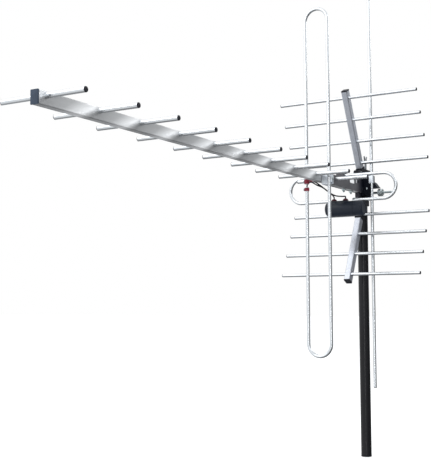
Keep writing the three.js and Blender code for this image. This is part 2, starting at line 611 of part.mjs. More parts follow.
function buildWingScrew() {
  const y = WING_SCREW_Y;
  const shank = bar('z', 2.8, HUB_TOP + GAP, 704, [0, y], 10);
  const boss = bar('z', 4, 696, 704, [0, y], 10);
  const rearWing = [[y + 2, 698], [y + 7, 706], [y + 8.5, 713], [y + 6, 714], [y + 2, 704]];
  const frontWing = rearWing.map(([reach, z]) => [2 * y - reach, z]).reverse();
  const wings = [rearWing, frontWing].map((points) => plateYZ(points, -1.3, 1.3));
  addNode('upper_wing_screw', toGeometry(join(shank, boss, ...wings)), steel);
}

function buildLowerShoe(rodBore) {
  const pinZ = BOOM_Z - FOLD_RISE;
  const roof = HUB_BOTTOM - 0.6;
  const half = 7.5;
  const back = -MAST_R - 0.65;
  const collarRoom = -COLLAR_HALF - 0.8;
  const knuckle = bar('x', 5, -3.7, 3.7, [FOLD_Y, pinZ], 16);
  const bridge = box([-3.7, FOLD_Y, 581], [3.7, -17, roof]);
  const root = plateYZ([[-19.5, 578], [back, 578], [back, COLLAR_BOTTOM - 2],
    [collarRoom, COLLAR_BOTTOM - 0.6], [collarRoom, pinZ + 0.6], [-16.5, roof - 0.4],
    [-19.5, roof - 0.4]], -half, half);
  const seat = armBlock(-1, 57, LOWER_ARM_START - GAP, -10.5, 10.5, half);
  const spigot = armBlock(-1, 78, 98, -7.3, 7.3, 5.3);
  const mastRoom = box([-20, back, 500], [20, 40, 620]);
  const shoe = cut(join(knuckle, bridge, root, seat, spigot), mastRoom,
    bar('x', 2.3, -12, 12, [FOLD_Y, pinZ], 10), rodBore);
  addNode('lower_arm_shoe', toGeometry(shoe), blackPlastic);
}

// ---------------------------------------------------------------- VHF reflector
function buildVhfReflector() {
  const place = [VHF_ROD_X, VHF_ROD_Y];
  const rod = pluggedRod('z', LOOP_R, VHF_ROD_BOTTOM, VHF_ROD_TOP, place);
  addNode('vhf_reflector', rod, aluminium);
  const clip = toSolid(box([23.8, VHF_ROD_Y - LOOP_R - 2, 642], [33.6, VHF_ROD_Y + LOOP_R, 660]));
  const clipBore = bar('z', LOOP_R + GAP, 630, 670, place, 12);
  addNode('vhf_reflector_clip', toGeometry(cut(clip, clipBore)), plateAluminium);
}

buildMast();
buildCollar();
buildBoom();
buildDirectors();
buildVhfDipole();
buildUhfDipole();
buildBalun();
buildLeads();
buildHub();
buildFasteners();
buildUpperShoe(buildArm(1, 'upper', UPPER_ARM_START));
buildWingScrew();
buildLowerShoe(buildArm(-1, 'lower', LOWER_ARM_START));
buildVhfReflector();

export default antenna;
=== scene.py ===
"""Looks of a combined VHF and UHF yagi aerial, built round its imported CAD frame.

The pieces are built in millimetres. The camera, the lights, the floor and the materials are in metres.
"""
import json
import math

import bmesh
import bpy
from mathutils import Matrix, Vector

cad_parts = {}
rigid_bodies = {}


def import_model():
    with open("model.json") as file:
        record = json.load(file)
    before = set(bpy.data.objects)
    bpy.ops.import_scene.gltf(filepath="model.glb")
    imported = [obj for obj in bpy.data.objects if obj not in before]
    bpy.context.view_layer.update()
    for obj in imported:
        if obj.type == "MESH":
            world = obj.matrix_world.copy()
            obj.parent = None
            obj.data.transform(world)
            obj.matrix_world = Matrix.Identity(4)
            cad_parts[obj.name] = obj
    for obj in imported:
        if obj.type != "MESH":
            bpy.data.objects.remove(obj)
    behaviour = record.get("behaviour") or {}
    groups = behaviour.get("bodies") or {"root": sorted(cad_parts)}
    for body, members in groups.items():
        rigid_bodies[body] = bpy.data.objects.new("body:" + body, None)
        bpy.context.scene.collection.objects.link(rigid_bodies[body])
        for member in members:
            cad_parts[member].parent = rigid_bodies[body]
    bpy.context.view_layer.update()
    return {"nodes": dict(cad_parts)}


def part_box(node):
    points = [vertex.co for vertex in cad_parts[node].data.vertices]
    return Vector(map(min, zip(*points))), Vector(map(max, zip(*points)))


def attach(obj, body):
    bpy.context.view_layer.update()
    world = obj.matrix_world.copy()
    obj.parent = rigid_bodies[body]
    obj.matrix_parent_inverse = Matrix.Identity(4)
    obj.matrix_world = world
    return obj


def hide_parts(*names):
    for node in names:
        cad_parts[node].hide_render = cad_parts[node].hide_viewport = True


MM = 0.001
UP = Vector((0, 0, 1))
X_AXIS = Vector((1, 0, 0))
Y_AXIS = Vector((0, 1, 0))
MERGE_DISTANCE = 1e-4               # corners closer than this become one
CAD_MERGE_DISTANCE = 1e-3
CAD_FLAT_ANGLE = 1.0                # degrees: CAD faces closer to flat than this are merged
SHARP_EDGE = 35                     # degrees: edges sharper than this are rounded
ROD_R = 3.75                        # tube radius of the rods and of both folded dipoles
DIRECTOR_R = 4.2
TUBE_WALL = 0.9

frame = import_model()
cad_nodes = frame["nodes"]


def box_mm(node):
    """Lowest and highest corner of a CAD node, in millimetres."""
    low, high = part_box(node)
    return Vector(low) / MM, Vector(high) / MM


def middle_mm(node):
    low, high = box_mm(node)
    return (low + high) / 2


# ---------------------------------------------------------------- camera
def make_camera():
    data = bpy.data.cameras.new("camera")
    data.sensor_width = 36
    data.lens = 72.14
    data.clip_start, data.clip_end = 0.05, 50
    camera = bpy.data.objects.new("camera", data)
    camera.location = (0.8288, -2.0581, 0.3490)
    heading = Matrix.Rotation(math.radians(31.08), 4, "Z")
    pitch = Matrix.Rotation(math.radians(90 + 4.88), 4, "X")
    roll = Matrix.Rotation(math.radians(-0.18), 4, "Z")
    camera.rotation_euler = (heading @ pitch @ roll).to_euler()
    bpy.context.scene.collection.objects.link(camera)
    bpy.context.scene.camera = camera


make_camera()


# ---------------------------------------------------------------- materials
class Nodes:
    """A material's node tree with short calls for what the materials here share."""

    def __init__(self, name, **settings):
        self.material = bpy.data.materials.new(name)
        self.material.use_nodes = True
        self.tree = self.material.node_tree
        self.shader = self.tree.nodes["Principled BSDF"]
        for socket, value in settings.items():
            self.shader.inputs[socket.replace("_", " ")].default_value = value
        self.coordinate = self.add("ShaderNodeTexCoord").outputs["Object"]

    def add(self, kind, **values):
        node = self.tree.nodes.new(kind)
        for key, value in values.items():
            setattr(node, key, value)
        return node

    def link(self, source, target):
        self.tree.links.new(source, target)

    def noise(self, scale, stretch=(1, 1, 1), detail=3):
        mapping = self.add("ShaderNodeMapping")
        mapping.inputs["Scale"].default_value = stretch
        self.link(self.coordinate, mapping.inputs["Vector"])
        texture = self.add("ShaderNodeTexNoise")
        texture.inputs["Scale"].default_value = scale
        texture.inputs["Detail"].default_value = detail
        texture.inputs["Roughness"].default_value = 0.55
        self.link(mapping.outputs["Vector"], texture.inputs["Vector"])
        return texture.outputs["Fac"]

    def ramp(self, value, stops):
        ramp = self.add("ShaderNodeValToRGB")
        while len(ramp.color_ramp.elements) < len(stops):
            ramp.color_ramp.elements.new(0.5)
        for element, (position, colour) in zip(ramp.color_ramp.elements, stops):
            element.position = position
            element.color = (*colour, 1)
        self.link(value, ramp.inputs["Fac"])
        return ramp.outputs["Color"]

    def span(self, value, low, high, from_low=0.3, from_high=0.7):
        spread = self.add("ShaderNodeMapRange")
        limits = {"From Min": from_low, "From Max": from_high, "To Min": low, "To Max": high}
        for socket, number in limits.items():
            spread.inputs[socket].default_value = number
        self.link(value, spread.inputs["Value"])
        return spread.outputs["Result"]

    def multiply(self, first, second):
        mix = self.add("ShaderNodeMix", data_type="RGBA", blend_type="MULTIPLY")
        mix.inputs["Factor"].default_value = 1.0
        self.link(first, mix.inputs[6])
        self.link(second, mix.inputs[7])
        return mix.outputs[2]

    def bump(self, value, strength, distance):
        node = self.add("ShaderNodeBump")
        node.inputs["Strength"].default_value = strength
        node.inputs["Distance"].default_value = distance
        self.link(value, node.inputs["Height"])
        return node.outputs["Normal"]

    def colour(self, output):
        self.link(output, self.shader.inputs["Base Color"])

    def rough(self, output):
        self.link(output, self.shader.inputs["Roughness"])

    def normal(self, output):
        self.link(output, self.shader.inputs["Normal"])


def shade(colour, factor):
    return tuple(min(channel * factor, 1.0) for channel in colour)


def drawn_metal(name, colour, roughness, axis, streak):
    """Metal with fine lines along an axis and faint smudges."""
    nodes = Nodes(name, Metallic=1.0)
    stretch = tuple(6 if i == axis else 700 for i in range(3))
    lines = nodes.noise(1.0, stretch)
    smudges = nodes.noise(22.0)
    tone = nodes.ramp(lines, [(0.3, shade(colour, 1 - streak)), (0.7, shade(colour, 1 + streak))])
    stain = nodes.ramp(smudges, [(0.35, (0.93, 0.94, 0.95)), (0.65, (1, 1, 1))])
    nodes.colour(nodes.multiply(tone, stain))
    nodes.rough(nodes.span(smudges, roughness - 0.05, roughness + 0.07))
    nodes.normal(nodes.bump(lines, 0.12, 0.00012))
    return nodes.material


def moulded(name, colour, roughness, grain=1800.0, grain_height=0.00006, **settings):
    """Moulded plastic with a fine grain and slightly uneven gloss."""
    nodes = Nodes(name, **settings)
    cloud = nodes.noise(35.0)
    fine = nodes.noise(grain, detail=2)
    nodes.colour(nodes.ramp(cloud, [(0.3, shade(colour, 0.8)), (0.7, shade(colour, 1.25))]))
    nodes.rough(nodes.span(cloud, roughness - 0.06, roughness + 0.08))
    nodes.normal(nodes.bump(fine, 0.35, grain_height))
    return nodes.material


TUBE = (0.83, 0.85, 0.87)
DULL = {"Specular_IOR_Level": 0.14}
SEMI_GLOSS = {"Specular_IOR_Level": 0.3}
FINE_GRAIN = (2200.0, 0.00003)      # how close the grain is, and its height
FINEST_GRAIN = (2600.0, 0.00003)
tube_x = drawn_metal("aluminium_tube_x", TUBE, 0.18, 0, 0.04)
tube_z = drawn_metal("aluminium_tube_z", TUBE, 0.18, 2, 0.04)
arm_metal = drawn_metal("arm_aluminium", (0.54, 0.56, 0.61), 0.34, 2, 0.12)
plate_metal = drawn_metal("plate_aluminium", (0.84, 0.88, 0.93), 0.32, 1, 0.05)
zinc = drawn_metal("zinc_steel", (0.60, 0.66, 0.67), 0.28, 0, 0.08)
dark_zinc = drawn_metal("dark_zinc_steel", (0.26, 0.27, 0.28), 0.34, 2, 0.08)
socket_metal = drawn_metal("plated_brass", (0.66, 0.58, 0.40), 0.26, 1, 0.05)
black_plastic = moulded("black_plastic", (0.007, 0.008, 0.013), 0.44, **DULL)
cap_plastic = moulded("cap_plastic", (0.012, 0.013, 0.018), 0.40, *FINEST_GRAIN, **DULL)
front_plastic = moulded("front_cap_plastic", (0.040, 0.055, 0.080), 0.40, *FINEST_GRAIN, **DULL)
balun_plastic = moulded("balun_plastic", (0.008, 0.012, 0.021), 0.34, *FINE_GRAIN, **SEMI_GLOSS)
grey_plastic = moulded("grey_plastic", (0.030, 0.034, 0.040), 0.45, **DULL)
red_plastic = moulded("red_plastic", (0.17, 0.012, 0.026), 0.34, *FINE_GRAIN, **SEMI_GLOSS)
gland_plastic = moulded("gland_plastic", (0.055, 0.006, 0.014), 0.38, *FINE_GRAIN, Specular_IOR_Level=0.25)
lead_rubber = moulded("lead_rubber", (0.012, 0.013, 0.016), 0.48, 1500.0, 0.00004, **DULL)
pale_patch = moulded("pale_patch", (0.80, 0.82, 0.84), 0.40, 2600.0, 0.00002)
ferrite = moulded("ferrite", (0.045, 0.045, 0.05), 0.6, 1200.0, 0.00008)


def make_hub_plastic():
    """Black moulding, lighter dull grey towards the long nose's front and darker towards the rear."""
    nodes = Nodes("hub_plastic", **DULL)
    cloud = nodes.noise(60.0, detail=4)
    fine = nodes.noise(1800.0, detail=2)
    split = nodes.add("ShaderNodeSeparateXYZ")
    nodes.link(nodes.coordinate, split.inputs["Vector"])
    # Lighter towards the front of the nose (low Y), darker towards the rear.
    along = nodes.span(split.outputs["Y"], 0.0, 1.0, -0.060, -0.020)
    stops = [(0.0, (0.105, 0.105, 0.112)), (0.45, (0.060, 0.058, 0.068)), (1.0, (0.008, 0.010, 0.017))]
    tone = nodes.ramp(along, stops)
    wear = nodes.ramp(cloud, [(0.3, (0.72, 0.72, 0.74)), (0.7, (1, 1, 1))])
    nodes.colour(nodes.multiply(tone, wear))
    nodes.rough(nodes.span(cloud, 0.38, 0.52))
    nodes.normal(nodes.bump(fine, 0.35, 0.00006))
    return nodes.material


def make_paint():
    """Gloss black paint with a faint orange peel."""
    nodes = Nodes("gloss_black_paint", Specular_IOR_Level=0.28)
    cloud = nodes.noise(18.0, (1, 1, 0.3))
    peel = nodes.noise(420.0, detail=1)
    nodes.colour(nodes.ramp(cloud, [(0.3, (0.004, 0.004, 0.005)), (0.7, (0.009, 0.009, 0.011))]))
    nodes.rough(nodes.span(cloud, 0.16, 0.22))
    nodes.normal(nodes.bump(peel, 0.10, 0.0002))
    return nodes.material


def make_board():
    """Green solder mask with slightly lighter tracks under it."""
    nodes = Nodes("circuit_board", Roughness=0.35)
    weave = nodes.noise(900.0, detail=1)
    tracks = nodes.noise(160.0, (1, 3, 1), detail=0)
    nodes.colour(nodes.ramp(tracks, [(0.49, (0.02, 0.13, 0.05)), (0.51, (0.035, 0.2, 0.08))]))
    nodes.normal(nodes.bump(weave, 0.2, 0.00005))
    return nodes.material


# Painted shade and painted reflection on the boom: slanted dark and light bands in its colour, one pair for
# each bay between directors.
PAINTED_BAND_SLANT = 1.8                    # how far a painted shade and reflection band moves along the boom for each metre of height
PAINTED_BAND_HEIGHT = 0.637                 # height at which a bay's painted shade and reflection bands start at its director
PAINTED_BANDS_END_Y = -0.05


def make_boom_metal(director_places):
    """Brushed box section.

    Each bay has painted shade behind its director and a painted reflection that brightens, aslant, towards
    the next one; the underside has painted shade.
    """
    nodes = Nodes("boom_aluminium", Metallic=0.45)
    lines = nodes.noise(1.0, (900, 7, 900))
    smudges = nodes.noise(16.0)
    tone = nodes.ramp(lines, [(0.3, (0.88, 0.885, 0.89)), (0.7, (0.96, 0.965, 0.97))])
    split = nodes.add("ShaderNodeSeparateXYZ")
    nodes.link(nodes.coordinate, split.inputs["Vector"])
    height = split.outputs["Z"]
    slant = nodes.add("ShaderNodeMath", operation="MULTIPLY_ADD")
    slant.inputs[1].default_value = -PAINTED_BAND_SLANT
    slant.inputs[2].default_value = PAINTED_BAND_SLANT * PAINTED_BAND_HEIGHT
    nodes.link(height, slant.inputs[0])
    aslant = nodes.add("ShaderNodeMath", operation="ADD")
    nodes.link(split.outputs["Y"], aslant.inputs[0])
    nodes.link(slant.outputs["Value"], aslant.inputs[1])
    # Painted shade and painted reflection: dark just behind each director, brightening aslant towards the
    # next.
    places = sorted(director_places) + [PAINTED_BANDS_END_Y]
    along = nodes.span(aslant.outputs["Value"], 0.0, 1.0, places[0], places[-1])
    stops = [(0.0, (0.80, 0.82, 0.84))]
    for here, following in zip(places, places[1:]):
        start = (here - places[0]) / (places[-1] - places[0])
        length = (following - here) / (places[-1] - places[0])
        stops += [(start + 0.10 * length, (0.31, 0.315, 0.32)),
                  (start + 0.52 * length, (0.44, 0.445, 0.45)),
                  (start + 0.90 * length, (0.98, 0.985, 0.99))]
    painted_shade_and_reflection_bands = nodes.ramp(along, stops)
    # Painted shade: the boom's colour is darkened along its underside.
    edge = nodes.span(height, 0.0, 1.0, 0.6200, 0.6216)
    painted_underside_shade = nodes.ramp(edge, [(0.0, (0.50, 0.50, 0.51)), (1.0, (1, 1, 1))])
    nodes.colour(nodes.multiply(nodes.multiply(tone, painted_shade_and_reflection_bands), painted_underside_shade))
    nodes.rough(nodes.span(smudges, 0.28, 0.40))
    nodes.normal(nodes.bump(lines, 0.15, 0.00012))
    return nodes.material


paint = make_paint()
hub_plastic = make_hub_plastic()
board_mask = make_board()


# ---------------------------------------------------------------- mesh helpers
def square_frame(direction):
    """Two unit vectors square to a direction, and the direction itself."""
    along = Vector(direction).normalized()
    reference = UP if abs(along.z) < 0.9 else X_AXIS
    across = reference.cross(along).normalized()
    return across, along.cross(across), along


def loft(bm, rings, closed=False):
    """Joins rings of the same number of corners. A ring of one point is a tip."""
    pairs = list(zip(rings, rings[1:]))
    if closed:
        pairs.append((rings[-1], rings[0]))
    for first, second in pairs:
        count = max(len(first), len(second))
        for i in range(count):
            j = (i + 1) % count
            corners = [first[i % len(first)], first[j % len(first)],
                       second[j % len(second)], second[i % len(second)]]
            unique = list(dict.fromkeys(corners))
            if len(unique) > 2:
                bm.faces.new(unique)


def ring_of(bm, points):
    return [bm.verts.new(point) for point in points]


def revolve(bm, origin, direction, profile, sides=32, closed=False):
    """A surface of revolution. The profile holds (radius, distance along the axis)."""
    across, upward, along = square_frame(direction)
    origin = Vector(origin)
    turns = [2 * math.pi * i / sides for i in range(sides)]
    rings = []
    for radius, distance in profile:
        centre = origin + along * distance
        if radius < 1e-6:
            rings.append(ring_of(bm, [centre]))
            continue
        rim = [centre + radius * (math.cos(a) * across + math.sin(a) * upward) for a in turns]
        rings.append(ring_of(bm, rim))
    loft(bm, rings, closed)


def sweep(bm, points, section_at):
    """Carries a section along points without twist, and closes both ends.

    section_at(i) gives the section's (u, v) corners at point i.
    """
    points = [Vector(point) for point in points]
    tangents = []
    for i in range(len(points)):
        before, after = points[max(i - 1, 0)], points[min(i + 1, len(points) - 1)]
        tangents.append((after - before).normalized())
    across = square_frame(tangents[0])[0]
    rings = []
    for i, (point, tangent) in enumerate(zip(points, tangents)):
        across = (across - tangent * across.dot(tangent)).normalized()
        upward = tangent.cross(across)
        rings.append(ring_of(bm, [point + across * u + upward * v for u, v in section_at(i)]))
    loft(bm, rings)
    bm.faces.new(rings[0])
    bm.faces.new(rings[-1])


def circle(radius, sides):
    return [(radius * math.cos(2 * math.pi * i / sides), radius * math.sin(2 * math.pi * i / sides))
            for i in range(sides)]


def arc(centre, radius, start, end, steps):
    """Points (a, b) of an arc, from one angle in degrees to another."""
    turns = [math.radians(start + (end - start) * i / steps) for i in range(steps + 1)]
    return [(centre[0] + radius * math.cos(a), centre[1] + radius * math.sin(a)) for a in turns]


def rounded_rectangle(width, height, radius, steps=4):
    right, top = width / 2 - radius, height / 2 - radius
    corners = [((right, top), 0), ((-right, top), 90), ((-right, -top), 180), ((right, -top), 270)]
    return [point for centre, start in corners for point in arc(centre, radius, start, start + 90, steps)]


def prism(bm, outline, origin, across, upward, depth):
    """An outline, in the plane of two directions, pushed out along their cross product."""
    origin, across, upward = Vector(origin), Vector(across), Vector(upward)
    push = across.cross(upward) * depth
    low = ring_of(bm, [origin + across * a + upward * b for a, b in outline])
    high = ring_of(bm, [origin + across * a + upward * b + push for a, b in outline])
    loft(bm, [low, high])
    bm.faces.new(low)
    bm.faces.new(high)


def block(bm, low, high):
    outline = [(low[0], low[1]), (high[0], low[1]), (high[0], high[1]), (low[0], high[1])]
    prism(bm, outline, (0, 0, low[2]), X_AXIS, Y_AXIS, high[2] - low[2])


def soften(bm, width, segments=2):
    """Rounds every sharp edge."""
    bmesh.ops.recalc_face_normals(bm, faces=bm.faces)
    sharp = math.radians(SHARP_EDGE)
    edges = [edge for edge in bm.edges if len(edge.link_faces) == 2 and edge.calc_face_angle(0) > sharp]
    bmesh.ops.bevel(bm, geom=edges, offset=width, segments=segments, profile=0.6, affect="EDGES",
                    clamp_overlap=True)


def place(name, bm, body, material, replaces=(), sharp=32):
    """Turns a mesh in millimetres into a piece that rides on a body."""
    bmesh.ops.remove_doubles(bm, verts=bm.verts, dist=MERGE_DISTANCE)
    bmesh.ops.recalc_face_normals(bm, faces=bm.faces)
    bmesh.ops.scale(bm, vec=(MM, MM, MM), verts=bm.verts)
    for face in bm.faces:
        face.smooth = True
    for edge in bm.edges:
        if len(edge.link_faces) == 2 and edge.calc_face_angle(0) > math.radians(sharp):
            edge.smooth = False
    mesh = bpy.data.meshes.new(name)
    bm.to_mesh(mesh)
    bm.free()
    piece = bpy.data.objects.new(name, mesh)
    piece.data.materials.append(material)
    bpy.context.scene.collection.objects.link(piece)
    even = piece.modifiers.new("even", "WEIGHTED_NORMAL")
    even.keep_sharp = True
    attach(piece, body)
    if replaces:
        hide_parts(*replaces)


def from_cad(node):
    """A CAD node's mesh in millimetres, with its flat faces merged."""
    bm = bmesh.new()
    bm.from_mesh(cad_nodes[node].data)
    bmesh.ops.scale(bm, vec=(1 / MM, 1 / MM, 1 / MM), verts=bm.verts)
    bmesh.ops.remove_doubles(bm, verts=bm.verts, dist=CAD_MERGE_DISTANCE)
    flat = math.radians(CAD_FLAT_ANGLE)
    bmesh.ops.dissolve_limit(bm, angle_limit=flat, verts=bm.verts, edges=bm.edges)
    return bm


def refined(node, body, material, width, segments=2):
    """A CAD node's shape with rounded edges."""
    bm = from_cad(node)
    soften(bm, width, segments)
    place(node + "_surface", bm, body, material, [node])


# ---------------------------------------------------------------- tubes and end plugs
PLUG_RIM = 1.4                      # thickness of a plug's rim, which shows past the tube


def element(node, axis, radius, body, material):
    """A straight round tube with a black plug pressed into each end."""
    low, high = box_mm(node)
    direction = (X_AXIS, Y_AXIS, UP)[axis]
    length = high[axis] - low[axis]
    start = (low + high) / 2
    start[axis] = low[axis]
    bm = bmesh.new()
    bore = radius - TUBE_WALL
    rounding = 0.15
    end = length - PLUG_RIM
    profile = [(bore, PLUG_RIM), (radius - rounding, PLUG_RIM), (radius, PLUG_RIM + rounding),
               (radius, end - rounding), (radius - rounding, end), (bore, end)]
    revolve(bm, start, direction, profile, 28, closed=True)
    place(node + "_tube", bm, body, material, [node])

    bm = bmesh.new()
    for origin, way in ((start, direction), (start + direction * length, -direction)):
        plug = [(0, 0.35), (0.9, 0.35), (1.1, 0), (radius - 1.0, 0), (radius - 0.4, 0.15),
                (radius - 0.05, 0.6), (radius - 0.05, PLUG_RIM - 0.02), (bore - 0.05, PLUG_RIM - 0.02),
                (bore - 0.05, 12), (0, 12)]
        revolve(bm, origin, way, plug, 28)
    place(node + "_end_plugs", bm, body, cap_plastic)


DIRECTOR_NODES = [f"director_{number:02d}" for number in range(1, 11)]
director_y = [middle_mm(node).y for node in DIRECTOR_NODES]
for node in DIRECTOR_NODES:
    element(node, 0, DIRECTOR_R, "boom", tube_x)
for arm in ("upper", "lower"):
    for number in range(1, 5):
        element(f"{arm}_rod_{number}", 0, ROD_R, f"{arm}_arm", tube_x)
element("vhf_reflector", 2, ROD_R, "boom", tube_z)


# ---------------------------------------------------------------- folded dipoles
def loop_tube(name, points, flat_ends, material, node):
    """A bent round tube. flat_ends(i) gives how flat the section is at point i: 0 is round."""
    bm = bmesh.new()

    def section(i):
        flat = flat_ends(i)
        return [(u * (1 - 0.55 * flat), v * (1 + 0.25 * flat)) for u, v in circle(ROD_R, 24)]

    sweep(bm, points, section)
    place(name, bm, "boom", material, [node])


def make_vhf_dipole():
    low, high = box_mm("vhf_dipole")
    half = (high.x - low.x) / 2 - ROD_R
    centre_x, y = (low.x + high.x) / 2, (low.y + high.y) / 2
    top, bottom = high.z - ROD_R - half, low.z + ROD_R + half
    gap_top, gap_bottom = 615.5, 609.5
    left = centre_x - half
    points = [(left, gap_top)] + arc((centre_x, top), half, 180, 0, 28)
    points += arc((centre_x, bottom), half, 0, -180, 28) + [(left, gap_bottom)]
    loop_tube("vhf_dipole_tube", [(x, y, z) for x, z in points], lambda i: 0, tube_z, "vhf_dipole")


def make_uhf_dipole():
    low, high = box_mm("uhf_dipole")
    half = (high.z - low.z) / 2 - ROD_R
    y, z = (low.y + high.y) / 2, (low.z + high.z) / 2
    left, right = low.x + ROD_R + half, high.x - ROD_R - half
    bottom = z - half
    start = [(-27.5, bottom)]
    finish = [(46, bottom), (40, bottom), (35, bottom + 0.2), (26, bottom + 0.2)]
    points = start + arc((left, z), half, 270, 90, 28) + arc((right, z), half, 90, -90, 28) + finish
    flat_from = len(points) - 3

    def flat(i):
        return {flat_from: 0.25, flat_from + 1: 1.0, flat_from + 2: 1.0}.get(i, 0.0)

    loop_tube("uhf_dipole_tube", [(a, y, b) for a, b in points], flat, tube_x, "uhf_dipole")


make_vhf_dipole()
make_uhf_dipole()


# ---------------------------------------------------------------- box sections
def box_section(name, start, end, width, height, corner, wall, body, material, node):
    """A rectangular tube with rounded corners and open ends, from start to end. Its width lies along X."""
    start, end = Vector(start), Vector(end)
    along = (end - start).normalized()
    upward = along.cross(X_AXIS)
    bm = bmesh.new()
    outer = rounded_rectangle(width, height, corner)
    rim = rounded_rectangle(width - 0.4, height - 0.4, corner - 0.2)
    inner = rounded_rectangle(width - 2 * wall, height - 2 * wall, max(corner - wall, 0.3))

    def ring(outline, centre):
        return ring_of(bm, [centre + X_AXIS * a + upward * b for a, b in outline])

    inset = along * 0.2
    rings = [ring(inner, start), ring(rim, start), ring(outer, start + inset), ring(outer, end - inset),
             ring(rim, end), ring(inner, end)]
    loft(bm, rings, closed=True)
    place(name, bm, body, material, [node])


def make_boom():
    low, high = box_mm("boom_tube")
    middle = (low + high) / 2
    metal = make_boom_metal([y * MM for y in director_y])
    box_section("boom_section", (middle.x, low.y, middle.z), (middle.x, high.y, middle.z),
                high.x - low.x, high.z - low.z, 1.3, 1.2, "boom", metal, "boom_tube")
    low, high = box_mm("boom_front_cap")
    bm = bmesh.new()
    block(bm, low, (high.x, low.y + 3.0, high.z))
    soften(bm, 1.1, 3)
    block(bm, (low.x + 2.2, low.y + 2.5, low.z + 2.2), (high.x - 2.2, high.y, high.z - 2.2))
    place("boom_front_cap_surface", bm, "boom", front_plastic, ["boom_front_cap"])


make_boom()

ARM_LEAN = math.radians(26)
ARM_APEX_Y = 13.5
BOOM_Z = 630.0
ARM_STARTS = {"upper": 57.5, "lower": 82.0}
ARM_END = 246.0


def on_arm(side, distance, ahead=0.0):
    """A point of an arm's middle plane.

    The distance starts where both arms' lines meet on the boom's axis.
    """
    y = ARM_APEX_Y - distance * math.sin(ARM_LEAN) - ahead * math.cos(ARM_LEAN)
    z = BOOM_Z + side * (distance * math.cos(ARM_LEAN) - ahead * math.sin(ARM_LEAN))
    return Vector((0, y, z))


def make_arm(arm, side):
    body = f"{arm}_arm"
    start, end = on_arm(side, ARM_STARTS[arm]), on_arm(side, ARM_END)
    box_section(f"{arm}_arm_section", start, end, 14, 18, 1.6, 1.2, body, arm_metal,
                f"{arm}_arm_tube")
    along = (on_arm(side, 1) - on_arm(side, 0)).normalized()
    upward = along.cross(X_AXIS)
    bm = bmesh.new()

    def ring(width, height, corner, distance):
        centre = on_arm(side, distance)
        outline = rounded_rectangle(width, height, corner)
        return ring_of(bm, [centre + X_AXIS * a + upward * b for a, b in outline])

    rings = [ring(11, 15, 1.0, 240), ring(11, 15, 1.0, 246.3), ring(14.2, 18.2, 1.6, 246.3),
             ring(14.6, 18.6, 1.8, 246.6), ring(14.6, 18.6, 1.8, 248), ring(13.6, 17.6, 1.5, 248.7),
             ring(11, 15, 1.0, 249)]
    loft(bm, rings)
    bm.faces.new(rings[0])
    bm.faces.new(rings[-1])
    place(f"{arm}_arm_cap_surface", bm, body, cap_plastic, [f"{arm}_arm_cap"])


make_arm("upper", 1)
make_arm("lower", -1)


# ---------------------------------------------------------------- mast and collar
def make_mast():
    low, high = box_mm("mast_tube")
    bm = bmesh.new()
    radius = (high.x - low.x) / 2
    profile = [(radius - 1.5, 0), (radius - 0.3, 0), (radius, 0.3), (radius, high.z - low.z - 0.3),
               (radius - 0.3, high.z - low.z), (radius - 1.5, high.z - low.z)]
    revolve(bm, (0, 0, low.z), UP, profile, 64, closed=True)
    place("mast_surface", bm, "mast", paint, ["mast_tube"])
    bm = bmesh.new()
    plug = [(0, 0), (radius - 1.2, 0), (radius - 0.3, 0.4), (radius, 1.1), (radius, 3), (radius - 1.8, 3),
            (radius - 1.8, 17), (radius - 2.4, 18), (0, 18)]
    revolve(bm, (0, 0, 0), UP, plug, 64)
    place("mast_foot_plug_surface", bm, "mast", cap_plastic, ["mast_foot_plug"])


make_mast()
refined("clamp_collar", "clamp", black_plastic, 0.7, 3)


# ---------------------------------------------------------------- fasteners
def hexagon(across_flats):
    radius = across_flats / math.sqrt(3)
    return [(radius * math.cos(math.radians(60 * i + 30)), radius * math.sin(math.radians(60 * i + 30)))
            for i in range(6)]


def thread(radius, start, end, pitch):
    """Profile points of a threaded length, as rings."""
    points = [(radius, start)]
    distance = start + pitch / 2
    while distance + pitch / 2 < end:
        points += [(radius - 0.45, distance), (radius, distance + pitch / 2)]
        distance += pitch
    return points + [(radius - 0.5, end)]


def cross_head(bm, origin, direction, radius, height):
    """A domed screw head with a cross recess, sitting on origin and facing along direction."""
    head = bmesh.new()
    dome = [(0, 0), (radius * 0.92, 0), (radius, height * 0.2), (radius * 0.95, height * 0.55),
            (radius * 0.75, height * 0.85), (radius * 0.45, height), (0, height)]
    revolve(head, (0, 0, 0), UP, dome, 24)
    bmesh.ops.remove_doubles(head, verts=head.verts, dist=MERGE_DISTANCE)
    across, upward, along = square_frame(direction)
    turn = Matrix((across, upward, along)).transposed().to_4x4()
    turn.translation = Vector(origin)
    reach, half, depth = radius * 0.58, radius * 0.13, height * 0.55
    cross = [(reach, -half), (reach, half), (half, half), (half, reach), (-half, reach), (-half, half),
             (-reach, half), (-reach, -half), (-half, -half), (-half, -reach), (half, -reach),
             (half, -half)]
    tool = bmesh.new()
    prism(tool, cross, (0, 0, height - depth), X_AXIS, Y_AXIS, depth + 1)
    cut = carve(head, tool)
    bmesh.ops.transform(cut, matrix=turn, verts=cut.verts)
    add_into(bm, cut)


def add_into(bm, other):
    mesh = bpy.data.meshes.new("part")
    other.to_mesh(mesh)
    other.free()
    bm.from_mesh(mesh)
    bpy.data.meshes.remove(mesh)


